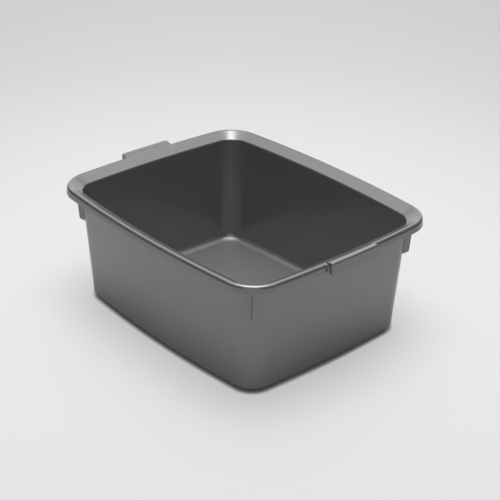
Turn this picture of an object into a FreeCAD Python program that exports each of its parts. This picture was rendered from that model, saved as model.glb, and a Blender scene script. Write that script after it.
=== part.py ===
import FreeCAD, Part
import Sketcher
import math
import os

# A rectangular washing up bowl: one thin-walled moulding with bowed sides, a flange that slopes
# down into the bowl, a turned-down skirt, a grip tab on each end and a stacking rib at each corner.
# X runs along the bowl, Y across it, Z up. The origin is on the table under the middle of the bowl.
#
# A plan outline has four shallow side arcs joined by four tangent corner arcs. The rim follows the
# crest line, the heel follows the foot line, and the walls are ruled from the heel to the rim, so
# their corners stay as wide at the foot as under the rim. A place in the wall's section is a reach,
# outwards from the crest line, and a height above the table.

doc = FreeCAD.newDocument("WashingUpBowl")
sheet = doc.addObject("Spreadsheet::Sheet", "Sizes")

# Driving dimensions, in millimetres and degrees.
ROWS = [
    # Plan of the crest line and of the foot line
    ("crest_half_length", 190.6),
    ("crest_half_width", 157.7),
    ("crest_corner_radius", 44.8),
    ("foot_corner_radius", 27.6),
    ("end_bow", 3.5),
    ("side_bow", 6.8),
    # Rim section
    ("crest_height", 159.4),
    ("crest_edge_radius", 4.0),
    ("flange_width", 19.1),
    ("flange_drop", 10.1),
    ("flange_thickness", 2.2),
    ("flange_bend_radius", 2.2),
    ("flange_under_radius", 0.8),
    ("skirt_height", 12.0),
    ("skirt_flare", 1.5),
    ("skirt_thickness", 1.8),
    ("skirt_edge_radius", 0.6),
    # Wall section
    ("wall_thickness", 1.8),
    ("wall_lean", 7.43),
    ("wall_top_drop", 3.4),
    ("wall_bottom_height", 20.0),
    # Floor and heel
    ("floor_height", 2.0),
    ("floor_thickness", 1.6),
    ("cove_radius", 12.0),
    ("cove_land", 1.5),
    ("heel_radius", 9.5),
    ("foot_width", 16.0),
    # Grip tabs
    ("tab_half_width", 36.8),
    ("tab_reach", 7.6),
    ("tab_rise", 1.3),
    ("tab_depth", 15.7),
    ("tab_flare", 1.4),
    ("tab_root", 7.0),
    ("tab_bend_radius", 8.0),
    ("tab_edge_radius", 2.2),
    ("tab_under_radius", 0.8),
    ("tab_corner_radius", 2.4),
    # Corner ribs
    ("rib_angle", 45.0),
    ("rib_depth", 7.6),
    ("rib_bottom_height", 103.5),
    ("rib_bottom_rise", 4.0),
    ("rib_top_thickness", 3.4),
    ("rib_bottom_thickness", 1.8),
    # Overrun of every cut past the solid that it cuts
    ("overrun", 3.0),
]


class Size:
    """A number that also carries the spreadsheet expression it comes from."""

    def __init__(self, value, text):
        self.value = float(value)
        self.text = text

    def join(self, other, sign, value):
        return Size(value, "(" + self.text + " " + sign + " " + other.text + ")")

    def __add__(self, other):
        other = as_size(other)
        return self.join(other, "+", self.value + other.value)

    def __sub__(self, other):
        other = as_size(other)
        return self.join(other, "-", self.value - other.value)

    def __mul__(self, other):
        other = as_size(other)
        return self.join(other, "*", self.value * other.value)

    def __truediv__(self, other):
        other = as_size(other)
        return self.join(other, "/", self.value / other.value)

    def __neg__(self):
        return Size(-self.value, "(-" + self.text + ")")


def as_size(number):
    if isinstance(number, Size):
        return number
    return Size(number, repr(number))


def in_degrees(number):
    """A plain number read as an angle."""
    number = as_size(number)
    return Size(number.value, "(" + number.text + " * 1 deg)")


def arctangent(side, base):
    """The angle, in degrees, whose tangent is side over base."""
    ratio = side / base
    return Size(math.degrees(math.atan(ratio.value)), "atan" + ratio.text)


size = {}
for row, (alias, value) in enumerate(ROWS, start=1):
    cell = "B" + str(row)
    sheet.set("A" + str(row), alias)
    sheet.set(cell, str(value))
    sheet.setAlias(cell, alias)
    size[alias] = Size(value, "Sizes." + alias)
doc.recompute()

ZERO = as_size(0)

quarter_turn = in_degrees(90)
half_turn = in_degrees(180)


class Plan:
    """A plan outline. A bow is how far the middle of a side stands out past the straight line that
    the two corner arcs would share, so it gives the side's radius."""

    def __init__(self, half_length, half_width, corner_radius):
        end_bow = size["end_bow"]
        side_bow = size["side_bow"]
        self.corner_radius = corner_radius
        self.corner_x = half_length - corner_radius - end_bow
        self.corner_y = half_width - corner_radius - side_bow
        self.end_radius = corner_radius + end_bow / 2 + self.corner_y * self.corner_y / (end_bow * 2)
        self.side_radius = corner_radius + side_bow / 2 + self.corner_x * self.corner_x / (side_bow * 2)
        self.end_centre = half_length - self.end_radius
        self.side_centre = half_width - self.side_radius
        self.end_angle = arctangent(self.corner_y, self.corner_x - self.end_centre)
        self.side_angle = arctangent(self.corner_x, self.corner_y - self.side_centre)

    # One arc of the outline as (x, y, radius, first angle, last angle), seen with the piece's own
    # outward direction along X.
    def end_arc(self):
        return (self.end_centre, ZERO, self.end_radius, -self.end_angle, self.end_angle)

    def side_arc(self):
        return (self.side_centre, ZERO, self.side_radius, -self.side_angle, self.side_angle)

    def corner_arc(self):
        last = quarter_turn - self.side_angle
        return (self.corner_x, self.corner_y, self.corner_radius, self.end_angle, last)

    def turned_corner_arc(self):
        last = quarter_turn - self.end_angle
        return (self.corner_y, self.corner_x, self.corner_radius, self.side_angle, last)


half_length = size["crest_half_length"]
half_width = size["crest_half_width"]
crest_plan = Plan(half_length, half_width, size["crest_corner_radius"])
corner_radius = crest_plan.corner_radius
end_radius = crest_plan.end_radius
end_centre = crest_plan.end_centre

# Section lines. Heights and reaches are linear in each other along the flange, skirt and wall.
crest_height = size["crest_height"]
flange_slope = size["flange_drop"] / size["flange_width"]
bend_height = crest_height - size["flange_drop"]
wall_slope = size["wall_lean"] / bend_height
skirt_slope = size["skirt_flare"] / size["skirt_height"]
wall_top = bend_height - size["wall_top_drop"]
wall_bottom = size["wall_bottom_height"]


def wall_inside(height):
    """Reach of the wall's inner face at a height."""
    return -size["flange_width"] - (bend_height - height) * wall_slope


def wall_outside(height):
    return wall_inside(height) + size["wall_thickness"]


def flange_top(reach):
    return crest_height + reach * flange_slope


def flange_under(reach):
    return flange_top(reach) - size["flange_thickness"]


def place(base, reach, height):
    """A point of a section drawn at a distance base from its axis."""
    return (base + reach, height)


def get_plane(body, role):
    for item in body.Origin.OriginFeatures:
        if item.Role == role:
            return item
    raise RuntimeError("no plane " + role)


def new_body(label, x=ZERO, y=ZERO, turn=ZERO):
    """A body whose own Z axis stands at x, y, turned about that axis."""
    body = doc.addObject("PartDesign::Body", label)
    body.Label = label
    body.Placement = FreeCAD.Placement(
        FreeCAD.Vector(x.value, y.value, 0),
        FreeCAD.Rotation(FreeCAD.Vector(0, 0, 1), turn.value),
    )
    body.setExpression("Placement.Base.x", x.text)
    body.setExpression("Placement.Base.y", y.text)
    body.setExpression("Placement.Rotation.Angle", turn.text)
    return body


def new_sketch(body, name, role):
    sketch = body.newObject("Sketcher::SketchObject", name)
    sketch.AttachmentSupport = [(get_plane(body, role), "")]
    sketch.MapMode = "FlatFace"
    return sketch


def bind(sketch, constraint, amount):
    """Adds a dimension to a sketch and ties it to the spreadsheet."""
    index = sketch.addConstraint(constraint)
    sketch.setExpression("Constraints[" + str(index) + "]", amount.text)


def pin(sketch, geometry, point, x, y):
    bind(sketch, Sketcher.Constraint("DistanceX", -1, 1, geometry, point, x.value), x)
    bind(sketch, Sketcher.Constraint("DistanceY", -1, 1, geometry, point, y.value), y)


def draw_section(body, name, role, corners):
    """A closed section from its sharp corners, each (x, y) or (x, y, radius) where it is rounded."""
    sketch = new_sketch(body, name, role)
    flat = [FreeCAD.Vector(c[0].value, c[1].value, 0) for c in corners]
    count = len(corners)
    starts = []
    ends = []
    arcs = []
    for i, corner in enumerate(corners):
        here = flat[i]
        if len(corner) == 2:
            starts.append(here)
            ends.append(here)
            arcs.append(None)
            continue
        back = (flat[i - 1] - here).normalize()
        ahead = (flat[(i + 1) % count] - here).normalize()
        half = back.getAngle(ahead) / 2
        radius = corner[2].value
        run = radius / math.tan(half)
        starts.append(here + back * run)
        ends.append(here + ahead * run)
        middle = here + (back + ahead).normalize() * (radius / math.sin(half))
        from_middle = (here - middle).normalize()
        arcs.append(Part.Arc(starts[i], middle + from_middle * radius, ends[i]))
    lines = []
    for i in range(count):
        follow = (i + 1) % count
        lines.append(sketch.addGeometry(Part.LineSegment(ends[i], starts[follow]), False))
    for i, corner in enumerate(corners):
        before = lines[i - 1]
        after = lines[i]
        if arcs[i] is None:
            sketch.addConstraint(Sketcher.Constraint("Coincident", before, 2, after, 1))
            pin(sketch, after, 1, corner[0], corner[1])
            continue
        arc = sketch.addGeometry(arcs[i], False)
        first = sketch.getPoint(arc, 1)
        near, far = (1, 2) if (first - starts[i]).Length < (first - ends[i]).Length else (2, 1)
        sketch.addConstraint(Sketcher.Constraint("Tangent", before, 2, arc, near))
        sketch.addConstraint(Sketcher.Constraint("Tangent", arc, far, after, 1))
        bind(sketch, Sketcher.Constraint("Radius", arc, corner[2].value), corner[2])
        sharp = sketch.addGeometry(Part.Point(flat[i]), True)
        pin(sketch, sharp, 1, corner[0], corner[1])
        sketch.addConstraint(Sketcher.Constraint("PointOnObject", sharp, 1, before))
        sketch.addConstraint(Sketcher.Constraint("PointOnObject", sharp, 1, after))
    return sketch


def draw_outline(body, name, plan, reach):
    """A plan outline moved outwards by a reach: four side arcs and four tangent corners."""
    sketch = new_sketch(body, name, "XY_Plane")
    end = plan.end_angle.value
    side = plan.side_angle.value
    turns = [-end, end, 90 - side, 90 + side, 180 - end, 180 + end, 270 - side, 270 + side, 360 - end]
    arcs = [
        (plan.end_centre, ZERO, plan.end_radius),
        (plan.corner_x, plan.corner_y, plan.corner_radius),
        (ZERO, plan.side_centre, plan.side_radius),
        (-plan.corner_x, plan.corner_y, plan.corner_radius),
        (-plan.end_centre, ZERO, plan.end_radius),
        (-plan.corner_x, -plan.corner_y, plan.corner_radius),
        (ZERO, -plan.side_centre, plan.side_radius),
        (plan.corner_x, -plan.corner_y, plan.corner_radius),
    ]
    for i, (x, y, radius) in enumerate(arcs):
        circle = Part.Circle(
            FreeCAD.Vector(x.value, y.value, 0),
            FreeCAD.Vector(0, 0, 1),
            (radius + reach).value,
        )
        first = math.radians(turns[i])
        last = math.radians(turns[i + 1])
        sketch.addGeometry(Part.ArcOfCircle(circle, first, last), False)
    for i in range(len(arcs)):
        sketch.addConstraint(Sketcher.Constraint("Tangent", i, 2, (i + 1) % len(arcs), 1))
    for i, (x, y, radius) in enumerate(arcs):
        bind(sketch, Sketcher.Constraint("Radius", i, (radius + reach).value), radius + reach)
        if y is ZERO:
            sketch.addConstraint(Sketcher.Constraint("PointOnObject", i, 3, -1))
            bind(sketch, Sketcher.Constraint("DistanceX", -1, 1, i, 3, x.value), x)
        elif x is ZERO:
            sketch.addConstraint(Sketcher.Constraint("PointOnObject", i, 3, -2))
            bind(sketch, Sketcher.Constraint("DistanceY", -1, 1, i, 3, y.value), y)
    return sketch


def raise_sketch(sketch, height):
    """Moves a sketch along the direction that its plane faces."""
    sketch.AttachmentOffset = FreeCAD.Placement(
        FreeCAD.Vector(0, 0, height.value), FreeCAD.Rotation()
    )
    sketch.setExpression("AttachmentOffset.Base.z", height.text)


def draw_slice(body, name, height, arc, outer, inner=None):
    """A slice of wall seen from above, between two lines that point at the arc's centre. Outer and
    inner are reaches from the arc, and without an inner one the slice runs to the centre."""
    x, y, radius, first, last = arc
    sketch = new_sketch(body, name, "XY_Plane")
    raise_sketch(sketch, height)
    centre = FreeCAD.Vector(x.value, y.value, 0)

    def add_arc(reach):
        circle = Part.Circle(centre, FreeCAD.Vector(0, 0, 1), (radius + reach).value)
        turns = (math.radians(first.value), math.radians(last.value))
        added = sketch.addGeometry(Part.ArcOfCircle(circle, *turns), False)
        bind(sketch, Sketcher.Constraint("Radius", added, (radius + reach).value), radius + reach)
        return added

    outer_arc = add_arc(outer)
    pin(sketch, outer_arc, 3, x, y)
    inner_arc = None if inner is None else add_arc(inner)
    if inner_arc is not None:
        sketch.addConstraint(Sketcher.Constraint("Coincident", inner_arc, 3, outer_arc, 3))
    for point, turn in ((1, first), (2, last)):
        far = sketch.getPoint(outer_arc, point)
        near = centre if inner_arc is None else sketch.getPoint(inner_arc, point)
        line = sketch.addGeometry(Part.LineSegment(near, far), False)
        sketch.addConstraint(Sketcher.Constraint("Coincident", line, 2, outer_arc, point))
        if inner_arc is None:
            sketch.addConstraint(Sketcher.Constraint("Coincident", line, 1, outer_arc, 3))
        else:
            sketch.addConstraint(Sketcher.Constraint("Coincident", line, 1, inner_arc, point))
            sketch.addConstraint(Sketcher.Constraint("PointOnObject", outer_arc, 3, line))
        bind(sketch, Sketcher.Constraint("Angle", line, math.radians(turn.value)), turn)
    return sketch


def loft_slices(body, low, high):
    """Rules a solid straight from one slice to another."""
    loft = body.newObject("PartDesign::AdditiveLoft", body.Label + "_loft")
    loft.Profile = low
    loft.Sections = [high]
    loft.Ruled = True
    doc.recompute()
    return loft


def sweep_ring(body, plan, corners):
    """Sweeps a section, drawn at the middle of the right end, right round a plan outline."""
    outline = draw_outline(body, body.Label + "_path", plan, ZERO)
    section = draw_section(body, body.Label + "_section", "XZ_Plane", corners)
    doc.recompute()
    ring = body.newObject("PartDesign::AdditivePipe", body.Label + "_sweep")
    ring.Profile = section
    edges = ["Edge" + str(i + 1) for i in range(len(outline.Shape.Edges))]
    ring.Spine = (outline, edges)
    doc.recompute()
    return ring


def turn_section(body, kind, name, section, angle):
    """Turns a section about the body's own Z axis, half of the angle to each side."""
    feature = body.newObject("PartDesign::" + kind, name)
    feature.Profile = section
    feature.ReferenceAxis = (section, ["V_Axis"])
    feature.Midplane = True
    feature.Angle = angle.value
    feature.setExpression("Angle", angle.text)
    doc.recompute()
    return feature


# The foot line is where the wall's outer face would meet the table.
foot_outer = wall_outside(ZERO)
foot_inner = foot_outer - size["foot_width"]
foot_plan = Plan(half_length + foot_outer, half_width + foot_outer, size["foot_corner_radius"])

# Floor: a flat plate of the outline where the cove runs out into the floor.
floor_height = size["floor_height"]
floor_under = floor_height - size["floor_thickness"]
cove_corner = wall_inside(floor_height)
cove_length = Size(
    math.hypot(1.0, wall_slope.value) - wall_slope.value,
    "(sqrt(1 + " + wall_slope.text + " * " + wall_slope.text + ") - " + wall_slope.text + ")",
)
floor_edge = cove_corner - size["cove_radius"] * cove_length - size["cove_land"]

floor_panel = new_body("floor_panel")
floor_outline = draw_outline(floor_panel, "floor_outline", foot_plan, floor_edge - foot_outer)
raise_sketch(floor_outline, floor_under)
doc.recompute()
floor_pad = floor_panel.newObject("PartDesign::Pad", "floor_pad")
floor_pad.Profile = floor_outline
floor_pad.Length = size["floor_thickness"].value
floor_pad.setExpression("Length", size["floor_thickness"].text)

# Heel: the cove inside, the foot outside, and the first of the wall above them.
base_heel = new_body("base_heel")
sweep_ring(
    base_heel,
    foot_plan,
    [
        place(half_length, wall_inside(wall_bottom), wall_bottom),
        place(half_length, cove_corner, floor_height) + (size["cove_radius"],),
        place(half_length, floor_edge, floor_height),
        place(half_length, floor_edge, floor_under),
        place(half_length, foot_inner, floor_under),
        place(half_length, foot_inner, ZERO),
        place(half_length, foot_outer, ZERO) + (size["heel_radius"],),
        place(half_length, wall_outside(wall_bottom), wall_bottom),
    ],
)


# Walls: each side and each corner is ruled from a slice on top of the heel to one under the rim.
def wall_piece(label, turn, low_arc, high_arc):
    body = new_body(label, ZERO, ZERO, turn)
    low = draw_slice(
        body,
        label + "_low",
        wall_bottom,
        low_arc,
        wall_outside(wall_bottom) - foot_outer,
        wall_inside(wall_bottom) - foot_outer,
    )
    high = draw_slice(
        body, label + "_high", wall_top, high_arc, wall_outside(wall_top), wall_inside(wall_top)
    )
    doc.recompute()
    loft_slices(body, low, high)
    return body


def corner_fill(label, turn, low_arc, high_arc):
    """All that lies behind a corner's outer face, to cut a rib's back to that face."""
    body = new_body(label, ZERO, ZERO, turn)
    low = draw_slice(
        body, label + "_low", wall_bottom, low_arc, wall_outside(wall_bottom) - foot_outer
    )
    high = draw_slice(body, label + "_high", wall_top, high_arc, wall_outside(wall_top))
    doc.recompute()
    loft_slices(body, low, high)
    return body


walls = [
    wall_piece("right_wall", ZERO, foot_plan.end_arc(), crest_plan.end_arc()),
    wall_piece("left_wall", half_turn, foot_plan.end_arc(), crest_plan.end_arc()),
    wall_piece("back_wall", quarter_turn, foot_plan.side_arc(), crest_plan.side_arc()),
    wall_piece("front_wall", -quarter_turn, foot_plan.side_arc(), crest_plan.side_arc()),
]
plain_arcs = (foot_plan.corner_arc(), crest_plan.corner_arc())
turned_arcs = (foot_plan.turned_corner_arc(), crest_plan.turned_corner_arc())
corner_x = crest_plan.corner_x
corner_y = crest_plan.corner_y
rib_angle = in_degrees(size["rib_angle"])
CORNERS = [
    ("back_right", corner_x, corner_y, ZERO, plain_arcs, rib_angle),
    ("back_left", -corner_x, corner_y, quarter_turn, turned_arcs, half_turn - rib_angle),
    ("front_left", -corner_x, -corner_y, half_turn, plain_arcs, rib_angle - half_turn),
    ("front_right", corner_x, -corner_y, -quarter_turn, turned_arcs, -rib_angle),
]
for name, x, y, turn, arcs, rib_turn in CORNERS:
    walls.append(wall_piece(name + "_corner", turn, *arcs))

# Rim: the bend out of the wall, the flange up to the crest, and the skirt turned down from it.
# The under side keeps the flange's thickness, the inner side of the skirt keeps the skirt's.
skirt_bottom = crest_height - size["skirt_height"]
# Where the flange's under side meets the skirt's inner face
under_crest = -(size["skirt_thickness"] - size["flange_thickness"] * skirt_slope) / (
    flange_slope * skirt_slope + 1
)
# Where the flange's under side meets the wall's outer face
under_bend = (wall_outside(bend_height) - size["flange_thickness"] * wall_slope) / (
    as_size(1) - flange_slope * wall_slope
) + (size["flange_width"] * flange_slope * wall_slope) / (as_size(1) - flange_slope * wall_slope)
under_crest_radius = size["crest_edge_radius"] - size["skirt_thickness"]
rim_body = new_body("rim_ring")
sweep_ring(
    rim_body,
    crest_plan,
    [
        place(half_length, wall_inside(wall_top), wall_top),
        place(half_length, wall_outside(wall_top), wall_top),
        place(half_length, under_bend, flange_under(under_bend)) + (size["flange_under_radius"],),
        place(half_length, under_crest, flange_under(under_crest)) + (under_crest_radius,),
        place(half_length, size["skirt_flare"] - size["skirt_thickness"], skirt_bottom)
        + (size["skirt_edge_radius"],),
        place(half_length, size["skirt_flare"], skirt_bottom) + (size["skirt_edge_radius"],),
        place(half_length, ZERO, crest_height) + (size["crest_edge_radius"],),
        place(half_length, -size["flange_width"], bend_height) + (size["flange_bend_radius"],),
    ],
)

# Grip tabs: over each tab the flange bends flatter and runs on outwards, so the crest and skirt
# stop at its sides.
tab_angle = arctangent(size["tab_half_width"], end_radius) * 2
tab_root = -size["tab_root"]
tab_edge = size["tab_reach"]
tab_slope = size["tab_rise"] / tab_edge
tab_bottom = crest_height + size["tab_rise"] - size["tab_depth"]
skirt_root = under_crest


def tab_top(reach):
    """Height of a tab's top face, outside the crest line."""
    return crest_height + reach * tab_slope


def tab_under(reach):
    return tab_top(reach) - size["flange_thickness"]


def notch_piece(label, x, turn):
    body = new_body(label, x, ZERO, turn)
    low = skirt_bottom - size["overrun"]
    high = crest_height + size["overrun"]
    out = size["skirt_flare"] + size["overrun"]
    section = draw_section(
        body,
        label + "_section",
        "XZ_Plane",
        [
            place(end_radius, tab_root, low),
            place(end_radius, out, low),
            place(end_radius, out, high),
            place(end_radius, tab_root, high),
        ],
    )
    doc.recompute()
    turn_section(body, "Revolution", label + "_turn", section, tab_angle)
    return body


notches = doc.addObject("Part::MultiFuse", "tab_notches")
notches.Shapes = [
    notch_piece("right_notch", end_centre, ZERO),
    notch_piece("left_notch", -end_centre, half_turn),
]
rim = doc.addObject("Part::Cut", "rim")
rim.Label = "rim"
rim.Base = rim_body
rim.Tool = notches
doc.recompute()


def upright_edges(shape):
    """Names of the two upright outer edges of a tab's block."""
    names = []
    far = end_radius.value + tab_edge.value
    for number, edge in enumerate(shape.Edges, start=1):
        points = [vertex.Point for vertex in edge.Vertexes]
        if len(points) != 2:
            continue
        rise = abs(points[0].z - points[1].z)
        reaches = [math.hypot(point.x, point.y) for point in points]
        if rise > size["tab_depth"].value / 2 and min(reaches) > far - size["tab_flare"].value / 2:
            names.append("Edge" + str(number))
    return names


def tab_piece(label, x, turn):
    """A grip tab: a block under the flange's plane, rounded, then hollowed from below."""
    body = new_body(label, x, ZERO, turn)
    crest = place(end_radius, tab_edge, tab_top(tab_edge))
    outer = draw_section(
        body,
        label + "_outer",
        "XZ_Plane",
        [
            place(end_radius, tab_root, flange_under(tab_root)),
            place(end_radius, skirt_root, flange_under(skirt_root)),
            place(end_radius, skirt_root, tab_bottom),
            place(end_radius, tab_edge + size["tab_flare"], tab_bottom),
            crest,
            place(end_radius, ZERO, crest_height) + (size["tab_bend_radius"],),
            place(end_radius, tab_root, flange_top(tab_root)),
        ],
    )
    doc.recompute()
    block = turn_section(body, "Revolution", label + "_block", outer, tab_angle)
    rounding = body.newObject("PartDesign::Fillet", label + "_corners")
    rounding.Base = (block, upright_edges(block.Shape))
    rounding.Radius = size["tab_corner_radius"].value
    rounding.setExpression("Radius", size["tab_corner_radius"].text)
    doc.recompute()
    # What the rounded edge takes off the square one lies outside a frame drawn round the block
    beyond = tab_edge + size["overrun"]
    middle = tab_edge / 2
    shave = draw_section(
        body,
        label + "_shave",
        "XZ_Plane",
        [
            place(end_radius, middle, tab_top(middle)),
            crest + (size["tab_edge_radius"],),
            place(end_radius, tab_edge + size["tab_flare"], tab_bottom),
            place(end_radius, beyond + size["tab_flare"], tab_bottom),
            place(end_radius, beyond, tab_top(beyond) + size["overrun"]),
            place(end_radius, middle, tab_top(beyond) + size["overrun"]),
        ],
    )
    doc.recompute()
    turn_section(body, "Groove", label + "_edge", shave, tab_angle * 2)
    flare_slope = size["tab_flare"] / size["tab_depth"]
    inner_edge = tab_edge - size["skirt_thickness"]
    inner_root = skirt_root - size["overrun"]
    inner_low = tab_bottom - size["overrun"]
    inner = draw_section(
        body,
        label + "_inner",
        "XZ_Plane",
        [
            place(end_radius, inner_root, inner_low),
            place(end_radius, inner_edge + size["tab_flare"] + size["overrun"] * flare_slope, inner_low),
            place(end_radius, inner_edge, tab_under(inner_edge)) + (size["tab_under_radius"],),
            place(end_radius, ZERO, tab_under(ZERO)),
            place(end_radius, inner_root, flange_under(inner_root)),
        ],
    )
    doc.recompute()
    hollow_angle = arctangent(size["tab_half_width"] - size["skirt_thickness"], end_radius) * 2
    before = body.Shape.Volume
    turn_section(body, "Groove", label + "_hollow", inner, hollow_angle)
    if body.Shape.Volume >= before:
        raise RuntimeError("the hollow under " + label + " cut nothing")
    return body


tabs = [
    tab_piece("right_handle", end_centre, ZERO),
    tab_piece("left_handle", -end_centre, half_turn),
]


# Corner ribs: a thin upright fin that tapers downwards, cut to the wall behind it and to the
# flange above it, with its lower edge slanting in to the wall.
def rib_piece(name, x, y, turn, arcs, rib_turn):
    label = name + "_rib"
    body = new_body(label + "_fin", x, y, rib_turn)
    top = flange_under(wall_outside(wall_top) + size["rib_depth"]) + size["overrun"]
    bottom = size["rib_bottom_height"]
    start = (corner_radius + wall_inside(wall_bottom)) / 2
    outer = corner_radius + wall_outside(wall_top) + size["rib_depth"]
    face = draw_section(
        body,
        label + "_face",
        "YZ_Plane",
        [
            (-size["rib_bottom_thickness"] / 2, bottom),
            (size["rib_bottom_thickness"] / 2, bottom),
            (size["rib_top_thickness"] / 2, top),
            (-size["rib_top_thickness"] / 2, top),
        ],
    )
    raise_sketch(face, start)
    doc.recompute()
    pad = body.newObject("PartDesign::Pad", label + "_pad")
    pad.Profile = face
    pad.Length = (outer - start).value
    pad.setExpression("Length", (outer - start).text)
    doc.recompute()
    # The rim takes everything above the flange's under side
    high = crest_height + size["overrun"]
    taken = draw_section(
        body,
        label + "_taken",
        "XZ_Plane",
        [
            (ZERO, wall_top),
            place(corner_radius, wall_outside(wall_top), wall_top),
            place(corner_radius, under_bend, flange_under(under_bend)) + (size["flange_under_radius"],),
            place(corner_radius, size["overrun"], flange_under(size["overrun"])),
            place(corner_radius, size["overrun"], high),
            (ZERO, high),
        ],
    )
    doc.recompute()
    turn_section(body, "Groove", label + "_rim_cut", taken, half_turn)
    # The outer edge follows the wall's lean, and the lower edge slants up outwards
    low_reach = wall_outside(bottom)
    out_reach = low_reach + size["rib_depth"]
    far_reach = wall_outside(top) + size["rib_depth"] + size["overrun"]
    slant = size["rib_bottom_rise"] / size["rib_depth"]
    edge = draw_section(
        body,
        label + "_edge",
        "XZ_Plane",
        [
            place(corner_radius, low_reach - size["overrun"], bottom - size["overrun"] * slant),
            place(corner_radius, out_reach, bottom + size["rib_bottom_rise"]),
            place(corner_radius, wall_outside(top) + size["rib_depth"], top),
            place(corner_radius, far_reach, top),
            place(corner_radius, far_reach, bottom - size["overrun"] * 2),
            place(corner_radius, low_reach - size["overrun"], bottom - size["overrun"] * 2),
        ],
    )
    doc.recompute()
    turn_section(body, "Groove", label + "_edge_cut", edge, half_turn)
    rib = doc.addObject("Part::Cut", label)
    rib.Label = label
    rib.Base = body
    rib.Tool = corner_fill(name + "_fill", turn, *arcs)
    doc.recompute()
    return rib


ribs = [rib_piece(*corner) for corner in CORNERS]

doc.recompute()

# Every object must be sound, and every piece one whole solid, before anything is written.
for item in doc.Objects:
    if "Invalid" in item.State or "Error" in item.State:
        raise RuntimeError("failed: " + item.Label + " " + item.getStatusString())
pieces = [floor_panel, base_heel, rim] + walls + tabs + ribs
os.makedirs("parts", exist_ok=True)
for piece in pieces:
    shape = piece.Shape
    if shape.isNull() or not shape.isValid() or len(shape.Solids) != 1:
        raise RuntimeError("not one sound solid: " + piece.Label)
    shape.exportStep(os.path.join("parts", piece.Label + ".step"))
    box = shape.optimalBoundingBox()
    print(
        piece.Label,
        "volume",
        round(shape.Volume, 1),
        "from",
        (round(box.XMin, 2), round(box.YMin, 2), round(box.ZMin, 2)),
        "to",
        (round(box.XMax, 2), round(box.YMax, 2), round(box.ZMax, 2)),
    )
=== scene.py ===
# %% [markdown]
# # A washing up bowl
# The object is one thin plastic moulding: a flat floor, a rounded cove, drafted and slightly
# bowed walls, and a rim whose flange slopes down into the bowl. This lesson builds it over the
# imported CAD model, which is loaded first and stays where it is: it fixes every size, so the
# pieces made here need no fitting.

# %% Frame
import bpy
import math
import numpy as np
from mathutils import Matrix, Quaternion, Vector


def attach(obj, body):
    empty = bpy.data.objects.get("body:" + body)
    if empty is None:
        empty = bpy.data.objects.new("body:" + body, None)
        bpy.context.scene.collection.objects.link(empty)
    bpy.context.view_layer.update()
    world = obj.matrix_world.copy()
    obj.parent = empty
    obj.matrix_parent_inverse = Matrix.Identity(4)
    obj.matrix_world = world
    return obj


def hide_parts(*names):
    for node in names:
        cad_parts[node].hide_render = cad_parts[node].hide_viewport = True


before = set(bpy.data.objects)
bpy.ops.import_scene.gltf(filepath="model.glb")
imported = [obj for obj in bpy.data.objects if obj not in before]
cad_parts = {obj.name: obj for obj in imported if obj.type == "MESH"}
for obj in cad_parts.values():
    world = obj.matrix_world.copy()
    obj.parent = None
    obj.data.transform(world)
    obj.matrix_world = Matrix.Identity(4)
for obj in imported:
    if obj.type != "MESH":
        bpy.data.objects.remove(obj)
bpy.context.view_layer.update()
MM = 0.001

# %% [markdown]
# ## The camera
# A camera can be placed by eye, but the bowl's outline is a better guide: the rim, the foot and
# the floor edge were fitted together to the photograph's edges, which gave the distance, the two
# angles, a small roll and the lens. A long lens keeps the walls almost parallel.

# %% Camera
AIM = Vector((0.57, 15.20, 80.24)) * MM
AZIMUTH, ELEVATION, ROLL = math.radians(48.175), math.radians(27.818), math.radians(1.082)
DISTANCE = 1631.17 * MM
LENS = 92.81

camera_data = bpy.data.cameras.new("studio_camera")
camera_data.sensor_width = 36.0
camera_data.lens = LENS
camera = bpy.data.objects.new("studio_camera", camera_data)
bpy.context.scene.collection.objects.link(camera)
towards_camera = Vector((
    math.sin(AZIMUTH) * math.cos(ELEVATION),
    -math.cos(AZIMUTH) * math.cos(ELEVATION),
    math.sin(ELEVATION),
))
level = (-towards_camera).to_track_quat("-Z", "Y")
camera.rotation_mode = "QUATERNION"
camera.rotation_quaternion = level @ Quaternion((0, 0, 1), ROLL)
camera.location = AIM + towards_camera * DISTANCE
bpy.context.scene.camera = camera
print("camera at", [round(c, 4) for c in camera.location])

# %% [markdown]
# ## Wires: node maths written as arithmetic
# Every material and every Geometry Nodes tree is a set of nodes and links. Adding them one by one
# hides the idea, so this class wraps one socket: `2 * wire + 1` adds the Math nodes for it, and
# `node` adds any other kind, with its settings first and its sockets after them.

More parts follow.
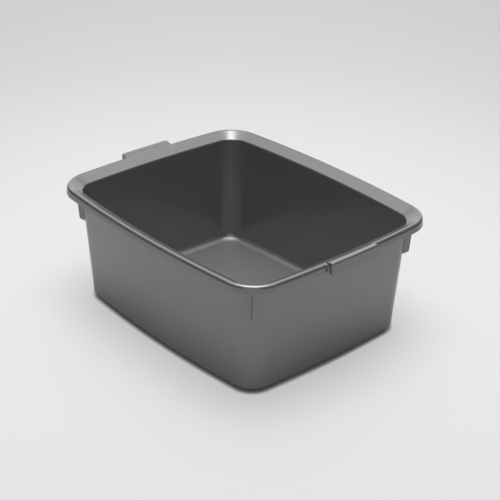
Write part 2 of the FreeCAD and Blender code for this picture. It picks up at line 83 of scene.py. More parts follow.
# %% Wire class
class Wire:
    """One output socket of a node tree. A wire without a socket only makes nodes."""

    def __init__(self, tree, socket=None):
        self.tree = tree
        self.socket = socket

    def node(self, kind, settings=None, sockets=None, out=0):
        made = self.tree.nodes.new(kind)
        for name, value in (settings or {}).items():
            setattr(made, name, value)
        for name, value in (sockets or {}).items():
            if isinstance(value, Wire):
                self.tree.links.new(value.socket, made.inputs[name])
            else:
                made.inputs[name].default_value = value
        return Wire(self.tree, made.outputs[out] if len(made.outputs) else None)

    def other(self, name):
        """Another output of the node that this wire comes from."""
        return Wire(self.tree, self.socket.node.outputs[name])

    def maths(self, operation, first, second):
        return self.node("ShaderNodeMath", {"operation": operation}, {0: first, 1: second})

    def eased(self, span, low, high):
        """A smooth ramp from low to high while this wire crosses a span."""
        return self.node(
            "ShaderNodeMapRange",
            {"interpolation_type": "SMOOTHSTEP"},
            {
                "Value": self, "From Min": span[0], "From Max": span[1],
                "To Min": low, "To Max": high,
            },
        )

    def __add__(self, value):
        return self.maths("ADD", self, value)

    def __radd__(self, value):
        return self.maths("ADD", value, self)

    def __sub__(self, value):
        return self.maths("SUBTRACT", self, value)

    def __rsub__(self, value):
        return self.maths("SUBTRACT", value, self)

    def __mul__(self, value):
        return self.maths("MULTIPLY", self, value)

    def __rmul__(self, value):
        return self.maths("MULTIPLY", value, self)

    def __truediv__(self, value):
        return self.maths("DIVIDE", self, value)

    def __rtruediv__(self, value):
        return self.maths("DIVIDE", value, self)


print("wires ready")

# %% [markdown]
# ## The silver-grey plastic
# The bowl is moulded in one colour: a grey plastic with fine metal flake mixed in, which makes it
# shine softly without looking like paint. A single grey would look dead, so each flake gets its
# own brightness from a Voronoi pattern, a slow cloud stands for the way the melt flowed, and a
# faint grain from the steel of the mould breaks up the reflections. The walls slide off polished
# steel, but the flat floor inside is duller, so faces that look up near the bottom get rougher.

# %% Plastic
PLASTIC_GREY, PLASTIC_METALLIC, PLASTIC_ROUGHNESS = 0.25, 0.58, 0.22
FLAKE_SCALE, CLOUD_SCALE, GRAIN_SCALE = 1900.0, 11.0, 1100.0
GRAIN_STRENGTH, GRAIN_DEPTH = 0.05, 0.00006
MATT_FLOOR, MATT_BELOW, MATT_FACING = 0.31, 0.010, (0.55, 0.98)


def silver_plastic():
    material = bpy.data.materials.new("silver_grey_plastic")
    material.use_nodes = True
    material.node_tree.nodes.clear()
    start = Wire(material.node_tree)
    place = start.node("ShaderNodeTexCoord", out="Object")
    cells = start.node(
        "ShaderNodeTexVoronoi",
        {"feature": "F1"},
        {"Vector": place, "Scale": FLAKE_SCALE, "Randomness": 1.0},
        out="Color",
    )
    flake = start.node("ShaderNodeSeparateColor", {}, {0: cells}, out="Red")
    cloud = start.node(
        "ShaderNodeTexNoise", {}, {"Vector": place, "Scale": CLOUD_SCALE, "Detail": 3.0}, out="Fac"
    )
    grain = start.node(
        "ShaderNodeTexNoise", {}, {"Vector": place, "Scale": GRAIN_SCALE, "Detail": 2.0}, out="Fac"
    )
    grey = PLASTIC_GREY * (0.965 + 0.07 * flake) * (0.98 + 0.04 * cloud)
    colour = start.node(
        "ShaderNodeCombineColor", {}, {"Red": grey, "Green": grey, "Blue": grey * 1.015}
    )
    roughness = PLASTIC_ROUGHNESS - 0.015 + 0.03 * flake + 0.04 * (cloud - 0.5)
    height = start.node("ShaderNodeSeparateXYZ", {}, {0: place}, out="Z")
    facing = start.node("ShaderNodeNewGeometry", out="Normal")
    upward = start.node("ShaderNodeSeparateXYZ", {}, {0: facing}, out="Z")
    low = start.maths("LESS_THAN", height, MATT_BELOW)
    roughness = roughness + low * upward.eased(MATT_FACING, 0.0, MATT_FLOOR)
    bump = start.node(
        "ShaderNodeBump",
        {},
        {"Strength": GRAIN_STRENGTH, "Distance": GRAIN_DEPTH, "Height": grain},
    )
    shader = start.node(
        "ShaderNodeBsdfPrincipled",
        {},
        {
            "Base Color": colour,
            "Metallic": PLASTIC_METALLIC,
            "Roughness": roughness,
            "Normal": bump,
        },
    )
    start.node("ShaderNodeOutputMaterial", {}, {"Surface": shader})
    return material


plastic = silver_plastic()
print("material", plastic.name, "nodes", len(plastic.node_tree.nodes))

# %% [markdown]
# ## The studio floor
# The bowl stands on a pale, matt sheet. A photographer lights such a sheet on its own, so that it
# stays pale without more light on the object. Here a share of its colour is a glow instead, which
# is painted light. Light Path gives that share only to the rays that see the floor, straight or in
# a reflection, and the light that the floor throws on the bowl stays plain. The glow goes out where
# the sky over the floor is covered. The dark line under the bowl and its shadow are therefore
# partly real shadow and partly painted shade, and reflections of the floor near the bowl get
# painted shade too.
# The glow also fades away from the bowl, a painted pool of light, and comes back far off as painted
# light, standing in for the place where such a sheet turns up.

# %% Studio floor
FLOOR_GREY, FLOOR_GLOW = 0.68, 0.95
SEEN_SHARE, MIRROR_SHARE, FAR_SHARE = 0.50, 0.26, 0.75
CONTACT_REACH, MIRROR_REACH = 0.007, 0.12
NEAR_SPAN, NEAR_KEPT, FAR_SPAN = (0.3, 1.0), 0.4, (1.2, 4.0)
FLOOR_SIZE = 14.0

floor_mesh = bpy.data.meshes.new("studio_floor")
half = FLOOR_SIZE / 2
floor_mesh.from_pydata(
    [(-half, -half, 0), (half, -half, 0), (half, half, 0), (-half, half, 0)], [], [(0, 1, 2, 3)]
)
studio_floor = bpy.data.objects.new("studio_floor", floor_mesh)
bpy.context.scene.collection.objects.link(studio_floor)


def pale_floor_with_painted_glow():
    material = bpy.data.materials.new("pale_floor_with_painted_glow")
    material.use_nodes = True
    material.node_tree.nodes.clear()
    start = Wire(material.node_tree)
    place = start.node("ShaderNodeTexCoord", out="Object")
    tooth = start.node("ShaderNodeTexNoise", {}, {"Vector": place, "Scale": 3.0}, out="Fac")
    grey = FLOOR_GREY - 0.005 + 0.01 * tooth
    colour = start.node("ShaderNodeCombineColor", {}, {0: grey, 1: grey, 2: grey})
    sheet = start.node(
        "ShaderNodeBsdfPrincipled",
        {},
        {"Base Color": colour, "Roughness": 0.6, "Specular IOR Level": 0.2},
    )
    # Painted light: an emission on the floor that stands in for lamps aimed at the sheet.
    glow = start.node("ShaderNodeEmission", {}, {"Strength": FLOOR_GLOW})
    ray = start.node("ShaderNodeLightPath", out="Is Camera Ray")

    def open_share(distance):
        """How much of the sky over a place on the floor is free within a distance."""
        return start.node(
            "ShaderNodeAmbientOcclusion", {"samples": 8}, {"Distance": distance}, out="AO"
        )

    mirror = ray.other("Is Glossy Ray") + ray.other("Is Transmission Ray")
    mirror = start.maths("MINIMUM", mirror, 1.0)
    away = start.node("ShaderNodeVectorMath", {"operation": "LENGTH"}, {0: place}, out="Value")
    # Ambient occlusion cuts the glow near the bowl: painted shade under it in view, and over a
    # wider reach in reflections.
    contact = open_share(CONTACT_REACH)
    seen = SEEN_SHARE * ray * contact * contact * contact
    near = seen + MIRROR_SHARE * mirror * open_share(MIRROR_REACH)
    # The glow fades away from the bowl, a painted pool of light, and returns far off as painted
    # light.
    far = (ray + mirror) * away.eased(FAR_SPAN, 0.0, FAR_SHARE)
    share = near * away.eased(NEAR_SPAN, 1.0, NEAR_KEPT) + far
    shader = start.node("ShaderNodeMixShader", {}, {0: share, 1: sheet, 2: glow})
    start.node("ShaderNodeOutputMaterial", {}, {"Surface": shader})
    return material


floor_mesh.materials.append(pale_floor_with_painted_glow())
print("floor", FLOOR_SIZE, "m, glow share", SEEN_SHARE)

# %% [markdown]
# ## The soft boxes
# The light comes from above and behind: the crest of the rim and the cove catch it, the walls
# inside stay dark, and the walls outside are lit mostly by the floor. A wide box overhead puts the
# sheen on the flange, a smaller and higher one gives the level and the shadow, a low panel behind
# the bowl shines along the near crest, and a weak box and a weak panel in front open the shadows.
# One lamp could give the same level, but satin plastic mirrors its lamps, so their shapes matter.
# Each is placed by how far it stands behind the bowl and to the camera's right, facing the bowl.
# The world adds nothing to them.

# %% Soft boxes
SOFT_BOXES = {
    # name: width, depth, metres behind, metres to the right, height, watts
    "overhead_box": (1.6, 1.6, 0.2, 0.0, 1.3, 9.5),
    "key_box": (1.1, 1.1, 0.0, 0.0, 2.0, 21.0),
    "back_panel": (3.6, 1.8, 2.2, 0.0, 1.0, 23.0),
    "front_box": (0.9, 0.9, -0.6, 0.0, 1.3, 1.4),
    "front_panel": (1.8, 1.6, -2.2, 0.0, 1.0, 5.5),
}
behind = Vector((-math.sin(AZIMUTH), math.cos(AZIMUTH), 0.0))
right = Vector((math.cos(AZIMUTH), math.sin(AZIMUTH), 0.0))


def soft_box(name, width, depth, back, side, height, watts):
    data = bpy.data.lights.new(name, "AREA")
    data.shape, data.size, data.size_y, data.energy = "RECTANGLE", width, depth, watts
    box = bpy.data.objects.new(name, data)
    box.location = behind * back + right * side + Vector((0.0, 0.0, height))
    box.rotation_mode = "QUATERNION"
    box.rotation_quaternion = (-box.location).to_track_quat("-Z", "Y")
    box.visible_camera = False
    bpy.context.scene.collection.objects.link(box)


for name, values in SOFT_BOXES.items():
    soft_box(name, *values)

WORLD_STRENGTH = 0.0
world = bpy.data.worlds.new("studio_world")
world.use_nodes = True
background = world.node_tree.nodes["Background"]
background.inputs["Color"].default_value = (1.0, 1.0, 1.0, 1.0)
background.inputs["Strength"].default_value = WORLD_STRENGTH
bpy.context.scene.world = world
bpy.context.scene.view_settings.view_transform = "Standard"
print("soft boxes", {name: values[-1] for name, values in SOFT_BOXES.items()})

# %% [markdown]
# ## Two plan lines
# Seen from above, each level of the bowl is four long, shallow arcs joined by four tight corner
# arcs. Two such lines guide everything: the crest of the rim, and the foot that the bowl stands
# on. Every other level is one of them moved in or out, or lies between the two. Each place on a
# line is a column, and it knows which way is outwards.

# %% Plan lines
HALF_LENGTH, HALF_WIDTH = 190.6, 157.7
END_BOW, SIDE_BOW = 3.5, 6.8
CREST_CORNER, FOOT_CORNER = 44.8, 27.6
CREST_HEIGHT, FLANGE_WIDTH, FLANGE_DROP = 159.4, 19.1, 10.1
WALL_LEAN, WALL_THICKNESS = 7.43, 1.8
BEND_HEIGHT = CREST_HEIGHT - FLANGE_DROP
WALL_SLOPE = WALL_LEAN / BEND_HEIGHT
WALL_TOP, WALL_BOTTOM = BEND_HEIGHT - 3.4, 20.0


def wall_inside(height):
    """How far inside the crest line the wall's inner face is at a height."""
    return -FLANGE_WIDTH - (BEND_HEIGHT - height) * WALL_SLOPE


def wall_outside(height):
    return wall_inside(height) + WALL_THICKNESS


def plan_arcs(half_length, half_width, corner):
    """The eight arcs of a plan line, from the right end: centre, radius, first and last turn."""
    x, y = half_length - corner - END_BOW, half_width - corner - SIDE_BOW
    end = corner + END_BOW / 2 + y * y / (2 * END_BOW)
    side = corner + SIDE_BOW / 2 + x * x / (2 * SIDE_BOW)
    end_turn = math.atan2(y, x - half_length + end)
    side_turn = math.atan2(x, y - half_width + side)
    quarter = math.pi / 2
    arcs = [
        (half_length - end, 0.0, end, -end_turn, end_turn),
        (x, y, corner, end_turn, quarter - side_turn),
        (0.0, half_width - side, side, quarter - side_turn, quarter + side_turn),
        (-x, y, corner, quarter + side_turn, 2 * quarter - end_turn),
    ]
    return arcs + [(-cx, -cy, r, a + 2 * quarter, b + 2 * quarter) for cx, cy, r, a, b in arcs]


FOOT_REACH = wall_outside(0.0)
crest_arcs = plan_arcs(HALF_LENGTH, HALF_WIDTH, CREST_CORNER)
foot_arcs = plan_arcs(HALF_LENGTH + FOOT_REACH, HALF_WIDTH + FOOT_REACH, FOOT_CORNER)
end_run = crest_arcs[0][2] * (crest_arcs[0][4] - crest_arcs[0][3])
print("end arc", round(end_run, 1), "mm long")
print("foot line", round(FOOT_REACH, 2), "mm from the crest line")

# %% [markdown]
# ## Columns, and the grip tabs
# On the two short ends the rim runs further out as a grip tab. A column there carries a tab share,
# from none to all of it. The share changes over a few columns that lie close together, along a
# small fillet, a straight side and a rounded corner, so the tab gets real end walls. The inner skin
# of the tab changes a wall thickness further in, which is why it has a path of its own.

# %% Columns
TAB_HALF_WIDTH, TAB_REACH, TAB_CORNER, TAB_FILLET, TAB_DRAFT = 36.8, 7.6, 2.4, 1.2, 0.4
SKIRT_THICKNESS = 1.8
TAB_COLUMNS, TAB_SIDE_COLUMNS, ARC_COLUMNS = 9, 6, 28
PLAIN_PLACES = [0.01, 0.06, 0.2, 0.45, 0.7, 0.88, 0.97]


def eased_shares(count):
    """Shares from 0 up to, but not at, 1, closer together near both ends."""
    share = np.arange(count) / count
    return share - 0.8 * np.sin(2 * np.pi * share) / (2 * np.pi)


def tab_half():
    """Columns from the middle of an end outwards: place, tab share and place of the inner skin."""
    round_share, fillet_share = TAB_CORNER / TAB_REACH, TAB_FILLET / TAB_REACH
    turn = np.linspace(0, math.pi / 2, TAB_COLUMNS)
    root = TAB_HALF_WIDTH + TAB_DRAFT
    front = np.linspace(0, TAB_HALF_WIDTH - TAB_CORNER - 0.6, TAB_COLUMNS)
    side = np.linspace(0, 1, TAB_SIDE_COLUMNS)[1:-1]
    places = [front, TAB_HALF_WIDTH - TAB_CORNER * (1 - np.sin(turn))]
    tabs = [np.ones(TAB_COLUMNS), 1 - round_share * (1 - np.cos(turn))]
    places.append(TAB_HALF_WIDTH + TAB_DRAFT * side)
    tabs.append((1 - round_share) * (1 - side) + fillet_share * side)
    places.append(root + TAB_FILLET * (1 - np.cos(turn[::2])))
    tabs.append(fillet_share * (1 - np.sin(turn[::2])))
    stop = root + TAB_FILLET
    plain = np.array(PLAIN_PLACES)
    inner = [front * (1 - SKIRT_THICKNESS / front[-1])]
    inner += [group - SKIRT_THICKNESS for group in places[1:]]
    inner.append(stop + (end_run / 2 - stop) * plain - SKIRT_THICKNESS * (1 - plain))
    places.append(stop + (end_run / 2 - stop) * plain)
    tabs.append(0 * plain)
    return [np.concatenate(groups) for groups in (places, tabs, inner)]


def column_shares():
    """For each arc: shares along it, tab shares, and shares along it for the inner skin."""
    places, tabs, inner = tab_half()
    back = slice(None, 0, -1)
    end = [
        np.concatenate([[0.0], 0.5 + np.concatenate([-row[back], row]) / end_run])
        for row in (places, inner)
    ]
    tab = np.concatenate([[0.0], tabs[back], tabs])
    plain = eased_shares(ARC_COLUMNS)
    return [(end[0], tab, end[1]), *[(plain, 0 * plain, plain)] * 3] * 2


def walk(arcs, shares):
    """Points and outward directions at shares along each arc."""
    points, outs = [], []
    for (x, y, radius, first, last), share in zip(arcs, shares):
        turn = first + (last - first) * share
        out = np.stack([np.cos(turn), np.sin(turn), 0 * turn], 1)
        points.append(np.array([x, y, 0.0]) + radius * out)
        outs.append(out)
    return np.concatenate(points), np.concatenate(outs)


groups = column_shares()
outer_shares = [group[0] for group in groups]
columns = {"tab": np.concatenate([group[1] for group in groups])}
columns["base"], columns["out"] = walk(crest_arcs, outer_shares)
columns["inner_base"], columns["inner_out"] = walk(crest_arcs, [group[2] for group in groups])
columns["foot"], columns["foot_out"] = walk(foot_arcs, outer_shares)
print("columns", len(columns["base"]), "on the tabs", int((columns["tab"] > 0).sum()))

# %% [markdown]
# ## Sections
# A section is the outline that a saw cut through the wall would show, as a list of rows. Each row
# has a reach, outwards from the crest line, and a height. Corners are rounded with short arcs, and
# a row is added close to each arc's ends so that the flat runs stay flat when they are shaded
# smoothly.

# %% Section helpers
def rounded(before, corner, after, radius, count):
    """Points of the arc that rounds a corner between two straight runs."""
    before, corner, after = (np.array(p, float) for p in (before, corner, after))
    back = (before - corner) / np.linalg.norm(before - corner)
    ahead = (after - corner) / np.linalg.norm(after - corner)
    half = math.acos(float(np.clip(back @ ahead, -1, 1))) / 2
    middle = corner + (back + ahead) / np.linalg.norm(back + ahead) * radius / math.sin(half)
    first = corner + back * radius / math.tan(half) - middle
    last = corner + ahead * radius / math.tan(half) - middle
    sweep = math.pi - 2 * half
    return [
        middle + (first * math.sin((1 - s) * sweep) + last * math.sin(s * sweep)) / math.sin(sweep)
        for s in np.linspace(0, 1, count)
    ]


def towards(start, stop, distance):
    """The point a distance along the run from start to stop."""
    start, stop = np.array(start, float), np.array(stop, float)
    return start + (stop - start) * distance / np.linalg.norm(stop - start)


def supported(before, corner, after, radius, count, near=0.7):
    """A rounded corner with one more row close to each end of its arc."""
    arc = rounded(before, corner, after, radius, count)
    return [towards(arc[0], before, near), *arc, towards(arc[-1], after, near)]


print("a rounded corner has", len(supported((0, 1), (0, 0), (1, 0), 0.2, 5, 0.1)), "rows")

# %% [markdown]
# The base is the floor, the cove that turns it up into the wall, and the heel: a small round edge
# at the bottom of the wall, and an underside that slopes in to the foot. The edge could be a large
# arc, but a small one keeps the dark line crisp where the bowl meets the surface. The floor's
# middle is reached by shrinking its edge to a point, so those rows carry a share of the full plan.
# A moulded floor is never quite flat: it rises a little to the middle.

# %% Base section
FLOOR_HEIGHT, FLOOR_THICKNESS, FLOOR_CROWN = 2.0, 1.6, 0.5
COVE_RADIUS, COVE_LAND, FOOT_WIDTH = 12.0, 1.5, 16.0
HEEL_INSET, HEEL_EDGE, HEEL_ROUND, SOLE_ROUND = 9.5, 6.8, 2.6, 2.0
FLOOR_SHARES = [0.0, 0.3, 0.6, 0.85, 0.97]

cove_corner = (wall_inside(FLOOR_HEIGHT), FLOOR_HEIGHT)
cove_run = COVE_RADIUS * (math.hypot(1, WALL_SLOPE) - WALL_SLOPE)
floor_edge = cove_corner[0] - cove_run - COVE_LAND
floor_under = FLOOR_HEIGHT - FLOOR_THICKNESS
foot_inner = FOOT_REACH - FOOT_WIDTH


def base_rows():
    inside = (wall_inside(WALL_BOTTOM), WALL_BOTTOM)
    outside = (wall_outside(WALL_BOTTOM), WALL_BOTTOM)
    cove = rounded((floor_edge, FLOOR_HEIGHT), cove_corner, inside, COVE_RADIUS, 16)
    edge, sole = (wall_outside(HEEL_EDGE), HEEL_EDGE), (FOOT_REACH - HEEL_INSET, 0.0)
    heel = supported(outside, edge, sole, HEEL_ROUND, 14)
    heel += supported(edge, sole, (foot_inner, 0.0), SOLE_ROUND, 4)
    run = [(floor_edge, FLOOR_HEIGHT), *cove, inside, outside, *heel]
    run += [(foot_inner, 0.0), (foot_inner, floor_under), (floor_edge, floor_under)]
    top = [dict(reach=floor_edge, height=FLOOR_HEIGHT, share=share) for share in FLOOR_SHARES]
    under = [dict(reach=floor_edge, height=floor_under, share=share) for share in FLOOR_SHARES]
    return top + [dict(reach=reach, height=height) for reach, height in run] + under[::-1]


def wall_rows():
    heights = np.linspace(WALL_BOTTOM, WALL_TOP, 5)
    levels = np.linspace(0, 1, 5)
    rows = [dict(reach=wall_inside(h), height=h, level=l) for h, l in zip(heights, levels)]
    outside = [dict(reach=wall_outside(h), height=h, level=l) for h, l in zip(heights, levels)]
    return rows + outside[::-1]


print("base rows", len(base_rows()), "wall rows", len(wall_rows()))

# %% [markdown]
# The rim has two sections with the same number of rows: the plain one, whose flange slopes up to a
# rounded crest and turns down as a skirt, and the tab's, whose flange bends flatter at the crest
# line and runs on to a crisper edge and a deeper skirt. A column mixes them by its tab share. Rows
# that the plain section doesn't need lie on its flange, where they change nothing.

# %% Rim section
CREST_ROUND, BEND_ROUND, UNDER_ROUND, HEM_ROUND = 4.0, 3.0, 0.8, 0.6
FLANGE_THICKNESS, SKIRT_HEIGHT, SKIRT_FLARE = 2.2, 12.0, 1.5
TAB_RISE, TAB_DEPTH, TAB_FLARE, TAB_BEND, TAB_EDGE = 1.3, 15.7, 1.4, 8.0, 2.2
FLANGE_SLOPE = FLANGE_DROP / FLANGE_WIDTH
TAB_SLOPE = TAB_RISE / TAB_REACH
BELOW_REACH, SPARE_ROWS = -7.0, (-9.5, -7.5)


def flange_top(reach):
    return CREST_HEIGHT + reach * FLANGE_SLOPE


def tab_top(reach):
    return CREST_HEIGHT + reach * TAB_SLOPE


def crossing(inner, slope_in, wall, slope_wall):
    """Where height = inner + slope_in * reach meets reach = wall + slope_wall * height."""
    height = (inner + slope_in * wall) / (1 - slope_in * slope_wall)
    return wall + slope_wall * height, height


def lip(before, crest, hem, crest_round, under_before, under_round):
    """Edge, skirt, hem and inner side of a lip, as (rows outside, rows inside)."""
    hem_in = (hem[0] - SKIRT_THICKNESS, hem[1])
    lean = (hem[0] - crest[0]) / (hem[1] - crest[1])
    slope = (crest[1] - before[1]) / (crest[0] - before[0])
    under = crossing(
        crest[1] - FLANGE_THICKNESS - slope * crest[0], slope, hem_in[0] - lean * hem_in[1], lean
    )
    outside = supported(before, crest, hem, crest_round, 14)
    outside += supported(crest, hem, hem_in, HEM_ROUND, 5)[:-1]
    inside = supported(hem, hem_in, under, HEM_ROUND, 5)[1:]
    inside += supported(hem_in, under, under_before, under_round, 7)
    return outside, inside


def rim_rows():
    wall_in, wall_out = (wall_inside(WALL_TOP), WALL_TOP), (wall_outside(WALL_TOP), WALL_TOP)
    bend, top = (-FLANGE_WIDTH, BEND_HEIGHT), (0.0, CREST_HEIGHT)
    tab = (TAB_REACH, tab_top(TAB_REACH))
    under = crossing(
        CREST_HEIGHT - FLANGE_THICKNESS, FLANGE_SLOPE,
        wall_outside(BEND_HEIGHT) - WALL_SLOPE * BEND_HEIGHT, WALL_SLOPE,
    )
    below = (BELOW_REACH, flange_top(BELOW_REACH) - FLANGE_THICKNESS)
    first = [wall_in, *supported(wall_in, bend, top, BEND_ROUND, 11)[1:]]
    last = [*supported(below, under, wall_out, UNDER_ROUND, 7), wall_out]
    tab_bend = supported(bend, top, tab, TAB_BEND, 5)
    flat = [(r, flange_top(r)) for r in np.linspace(*SPARE_ROWS, len(tab_bend))]
    hem = (SKIRT_FLARE, CREST_HEIGHT - SKIRT_HEIGHT)
    tab_hem = (TAB_REACH + TAB_FLARE, tab[1] - TAB_DEPTH)
    tab_below = (0.0, CREST_HEIGHT - FLANGE_THICKNESS)
    plain_out, plain_in = lip(bend, top, hem, CREST_ROUND, below, CREST_ROUND - SKIRT_THICKNESS)
    tab_out, tab_in = lip(top, tab, tab_hem, TAB_EDGE, tab_below, UNDER_ROUND)
    pairs = [(p, p, 0.0) for p in first]
    pairs += [(p, t, 0.0) for p, t in zip(flat + plain_out, tab_bend + tab_out)]
    pairs += [(p, t, 1.0) for p, t in zip(plain_in + [below], tab_in + [tab_below])]
    pairs += [(p, p, 0.0) for p in last]
    return [
        dict(reach=p[0], height=p[1], tab_reach=t[0], tab_height=t[1], inside=i, level=1.0)
        for p, t, i in pairs
    ]


print("rim rows", len(rim_rows()))

# %% [markdown]
# ## One tree that sweeps a section round the bowl
# Curve to Mesh can sweep a profile, but the profile can't change on the way. This tree follows the
# same rule with more freedom: it takes a flat grid with one vertex for each pair of column and row,
# looks up what the path and the section say for that pair, and moves the vertex there. The last
# column falls on the first one, so merging closes the ring.

# %% Sweep tree
SHARP_ANGLE, MERGE_DISTANCE = 0.75, 1e-6


def new_tree(name, inputs):
    """An empty Geometry Nodes tree with a geometry input, these named inputs, and an output."""
    tree = bpy.data.node_groups.new(name, "GeometryNodeTree")
    tree.interface.new_socket("Geometry", in_out="INPUT", socket_type="NodeSocketGeometry")
    for label, kind in inputs:
        tree.interface.new_socket(label, in_out="INPUT", socket_type="NodeSocket" + kind)
    tree.interface.new_socket("Geometry", in_out="OUTPUT", socket_type="NodeSocketGeometry")
    return tree, Wire(tree).node("NodeGroupInput")


def finish_tree(start, mesh):
    """Smooth shading with sharp edges kept, plain geometry, and the material."""
    angle = start.node("GeometryNodeInputMeshEdgeAngle", out="Unsigned Angle")
    sharp = start.node(
        "FunctionNodeCompare",
        {"data_type": "FLOAT", "operation": "GREATER_THAN"},
        {0: angle, 1: SHARP_ANGLE},
    )
    smooth = start.node(
        "GeometryNodeSetShadeSmooth", {"domain": "FACE"}, {"Geometry": mesh, "Shade Smooth": True}
    )
    edged = start.node(
        "GeometryNodeSetShadeSmooth",
        {"domain": "EDGE"},
        {"Geometry": smooth, "Selection": sharp, "Shade Smooth": False},
    )
    real = start.node("GeometryNodeRealizeInstances", {}, {"Geometry": edged})
    dressed = start.node(
        "GeometryNodeSetMaterial", {}, {"Geometry": real, "Material": start.other("Material")}
    )
    start.node("NodeGroupOutput", {}, {0: dressed})


ROW_FIELDS = ("reach", "height", "tab_reach", "tab_height", "share", "inside", "level")


def sweep_tree():
    tree, path = new_tree("sweep_section", [
        ("Section", "Object"), ("Closed", "Bool"), ("Foot Reach", "Float"),
        ("Floor Crown", "Float"), ("Material", "Material"),
    ])
    section = path.node("GeometryNodeObjectInfo", {}, {"Object": path.other("Section")}, "Geometry")

    def count(geometry):
        return path.node(
            "GeometryNodeAttributeDomainSize", {}, {"Geometry": geometry}, "Point Count"
        )

    def floored(value):
        return path.node("ShaderNodeMath", {"operation": "FLOOR"}, {0: value})

    column_count, row_count = count(path), count(section)
    deep = row_count + path.other("Closed")
    grid = path.node(
        "GeometryNodeMeshGrid", {}, {"Vertices X": column_count + 1, "Vertices Y": deep}
    )
    index = path.node("GeometryNodeInputIndex")
    column = floored((index + 0.5) / deep)
    row = index - column * deep
    row = row - row_count * floored((row + 0.5) / row_count)
    column = column - column_count * floored((column + 0.5) / column_count)

    def look_up(geometry, name, kind, place):
        field = path.node("GeometryNodeInputNamedAttribute", {"data_type": kind}, {"Name": name})
        return path.node(
            "GeometryNodeSampleIndex",
            {"data_type": kind, "domain": "POINT"},
            {"Geometry": geometry, "Value": field, "Index": place},
        )

    def along(start, direction, distance):
        start, direction = (
            look_up(path, name, "FLOAT_VECTOR", column) for name in (start, direction)
        )
        return added(start, scaled(direction, distance))

    def scaled(vector, factor):
        return path.node(
            "ShaderNodeVectorMath", {"operation": "SCALE"}, {0: vector, "Scale": factor}
        )

    def added(first, second):
        return path.node("ShaderNodeVectorMath", {"operation": "ADD"}, {0: first, 1: second})

    def mixed(first, second, factor):
        return path.node(
            "ShaderNodeMix", {"data_type": "VECTOR"}, {0: factor, 4: first, 5: second}, 1
        )

    here = {name: look_up(section, name, "FLOAT", row) for name in ROW_FIELDS}
    tab = look_up(path, "tab", "FLOAT", column)
    reach = here["reach"] + (here["tab_reach"] - here["reach"]) * tab
    height = here["height"] + (here["tab_height"] - here["height"]) * tab
    height = height + (1 - here["share"] * here["share"]) * path.other("Floor Crown")
    outer, inner = along("base", "out", reach), along("inner_base", "inner_out", reach)
    crest = mixed(outer, inner, here["inside"])
    foot = along("foot", "foot_out", reach - path.other("Foot Reach"))
    flat = mixed(foot, crest, here["level"])
    lift = path.node("ShaderNodeCombineXYZ", {}, {"Z": height})
    place = added(scaled(flat, here["share"]), lift)
    moved = path.node("GeometryNodeSetPosition", {}, {"Geometry": grid, "Position": place})
    merged = path.node(
        "GeometryNodeMergeByDistance", {}, {"Geometry": moved, "Distance": MERGE_DISTANCE}
    )
    turned = path.node("GeometryNodeFlipFaces", {}, {"Mesh": merged})
    finish_tree(path, turned)
    return tree


sweep = sweep_tree()
print("sweep tree nodes", len(sweep.nodes))

# %% [markdown]
# The path and each section are carried by small helper meshes: one vertex for each column or row,
# and the rest as attributes. They are removed as soon as the piece is a plain mesh.

# %% Sweeping the pieces
def helper(name, points, attributes):
    """A mesh of loose vertices that carries attributes for the tree."""
    mesh = bpy.data.meshes.new(name)
    mesh.from_pydata([tuple(p) for p in points], [], [])
    for label, values in attributes.items():
        values = np.asarray(values, np.float32)
        kind, field = ("FLOAT_VECTOR", "vector") if values.ndim == 2 else ("FLOAT", "value")
        mesh.attributes.new(label, kind, "POINT").data.foreach_set(field, values.ravel())
    made = bpy.data.objects.new(name, mesh)
    bpy.context.scene.collection.objects.link(made)
    return made


def run_tree(carrier, tree, inputs, name):
    """Runs a tree on a helper, keeps the result as a plain mesh, and removes the helper."""
    modifier = carrier.modifiers.new(tree.name, "NODES")
    modifier.node_group = tree
    for item in tree.interface.items_tree:
        if item.in_out == "INPUT" and item.name in inputs:
            modifier[item.identifier] = inputs[item.name]
    graph = bpy.context.evaluated_depsgraph_get()
    mesh = bpy.data.meshes.new_from_object(carrier.evaluated_get(graph))
    carrier.modifiers.clear()
    bpy.data.objects.remove(carrier)
    mesh.name = name
    piece = bpy.data.objects.new(name, mesh)
    bpy.context.scene.collection.objects.link(piece)
    return piece


def swept(name, rows, closed):
    usual = dict(share=1.0, inside=0.0, level=0.0)
    full = [
        usual | dict(tab_reach=row["reach"], tab_height=row["height"]) | row for row in rows
    ]
    scales = {field: 1.0 if field in usual else MM for field in ROW_FIELDS}
    fields = {field: [row[field] * scale for row in full] for field, scale in scales.items()}
    section = helper(name + "_section", np.zeros((len(full), 3)), fields)
    lengths = ("base", "inner_base", "foot")
    path = helper(name + "_path", columns["base"] * MM, {
        label: values * MM if label in lengths else values for label, values in columns.items()
    })
    piece = run_tree(path, sweep, {
        "Section": section, "Closed": closed, "Foot Reach": FOOT_REACH * MM,
        "Floor Crown": FLOOR_CROWN * MM, "Material": plastic,
    }, name)
    bpy.data.objects.remove(section)
    print(name, "vertices", len(piece.data.vertices), "faces", len(piece.data.polygons))
    return piece


bowl_base = swept("bowl_base", base_rows(), False)
bowl_walls = swept("bowl_walls", wall_rows(), True)
bowl_rim = swept("bowl_rim", rim_rows(), True)

# %% [markdown]
# ## Corner ribs
# Under the rim a thin fin stands at each corner. It stops a stack of bowls from jamming together.
# One fin is a box bent by a rule: its back follows the wall's lean, it gets thinner downwards and
# outwards, so that it leaves the mould, and its lower edge slants in to the wall. Four points then
# carry four copies, turned to the corners.

# %% Rib tree
RIB_DEPTH, RIB_BOTTOM, RIB_RISE = 7.6, 103.5, 4.0
RIB_TOP_THICKNESS, RIB_BOTTOM_THICKNESS, RIB_EDGE_SHARE = 3.4, 1.8, 0.35
RIB_SINK, RIB_INTO_FLANGE = 0.6, 0.5


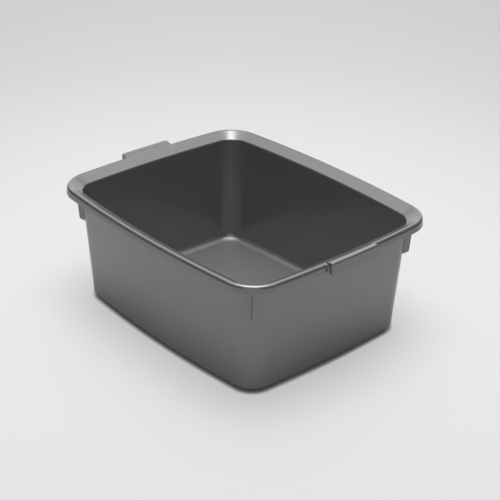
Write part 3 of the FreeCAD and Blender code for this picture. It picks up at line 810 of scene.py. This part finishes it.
def rib_tree():
    tree, start = new_tree("corner_rib", [
        ("Depth", "Float"), ("Bottom", "Float"), ("Bottom Rise", "Float"), ("Top", "Float"),
        ("Top Slope", "Float"), ("Top Thickness", "Float"), ("Bottom Thickness", "Float"),
        ("Edge Share", "Float"), ("Foot Reach", "Float"), ("Lean", "Float"), ("Sink", "Float"),
        ("Material", "Material"),
    ])
    size = start.other
    box = start.node("GeometryNodeMeshCube", {}, {
        "Size": (1.0, 1.0, 1.0), "Vertices X": 4, "Vertices Y": 2, "Vertices Z": 8,
    })
    spot = start.node("GeometryNodeInputPosition")
    parts = start.node("ShaderNodeSeparateXYZ", {}, {0: spot}, out="X")
    out_share, side, up_share = parts + 0.5, parts.other("Y") * 2, parts.other("Z") + 0.5
    depth = out_share * (size("Depth") + size("Sink")) - size("Sink")
    low = size("Bottom") + depth / size("Depth") * size("Bottom Rise")
    high = size("Top") + depth * size("Top Slope")
    height = low + (high - low) * up_share
    reach = size("Foot Reach") + (height - size("Bottom")) * size("Lean") + depth
    tall = (height - size("Bottom")) / (size("Top") - size("Bottom"))
    thick = size("Bottom Thickness") + (size("Top Thickness") - size("Bottom Thickness")) * tall
    thick = thick * (1 - out_share * (1 - size("Edge Share")))
    place = start.node(
        "ShaderNodeCombineXYZ", {}, {"X": reach, "Y": side * thick / 2, "Z": height}
    )
    fin = start.node("GeometryNodeSetPosition", {}, {"Geometry": box, "Position": place})
    turn = start.node("GeometryNodeInputNamedAttribute", {"data_type": "FLOAT"}, {"Name": "turn"})
    spin = start.node("ShaderNodeCombineXYZ", {}, {"Z": turn})
    copies = start.node(
        "GeometryNodeInstanceOnPoints", {}, {"Points": start, "Instance": fin, "Rotation": spin}
    )
    real = start.node("GeometryNodeRealizeInstances", {}, {"Geometry": copies})
    finish_tree(start, real)
    return tree


crest_x, crest_y = crest_arcs[1][:2]
foot_x, foot_y = foot_arcs[1][:2]
corner_top = CREST_CORNER + wall_outside(WALL_TOP)
corner_shift = (foot_x - crest_x + foot_y - crest_y) / math.sqrt(2)
corner_low = FOOT_CORNER + wall_outside(WALL_BOTTOM) - FOOT_REACH + corner_shift
corner_lean = (corner_top - corner_low) / (WALL_TOP - WALL_BOTTOM)
signs = [(1, 1), (-1, 1), (-1, -1), (1, -1)]
rib_points = [(sx * crest_x * MM, sy * crest_y * MM, 0.0) for sx, sy in signs]
carrier = helper("rib_points", rib_points, {"turn": [math.atan2(sy, sx) for sx, sy in signs]})
corner_ribs = run_tree(carrier, rib_tree(), {
    "Depth": RIB_DEPTH * MM, "Bottom": RIB_BOTTOM * MM, "Bottom Rise": RIB_RISE * MM,
    "Top": (flange_top(wall_outside(WALL_TOP)) - FLANGE_THICKNESS + RIB_INTO_FLANGE) * MM,
    "Top Slope": FLANGE_SLOPE, "Top Thickness": RIB_TOP_THICKNESS * MM,
    "Bottom Thickness": RIB_BOTTOM_THICKNESS * MM, "Edge Share": RIB_EDGE_SHARE,
    "Foot Reach": (corner_top - corner_lean * (WALL_TOP - RIB_BOTTOM)) * MM,
    "Lean": corner_lean, "Sink": RIB_SINK * MM, "Material": plastic,
}, "corner_ribs")
print("ribs", len(signs), "faces", len(corner_ribs.data.polygons))

# %% [markdown]
# ## Fitting the pieces to the frame
# Each piece stands for its CAD nodes and rides on the bowl's one body.

# %% Fitting
sides = ("front", "back", "left", "right")
corners = ("front_left", "front_right", "back_left", "back_right")
stands_for = {
    bowl_base: ["floor_panel", "base_heel"],
    bowl_walls: [s + "_wall" for s in sides] + [c + "_corner" for c in corners],
    bowl_rim: ["rim", "left_handle", "right_handle"],
    corner_ribs: [c + "_rib" for c in corners],
}
for piece, nodes in stands_for.items():
    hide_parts(*nodes)
    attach(piece, "root")
print("pieces", [piece.name for piece in stands_for])
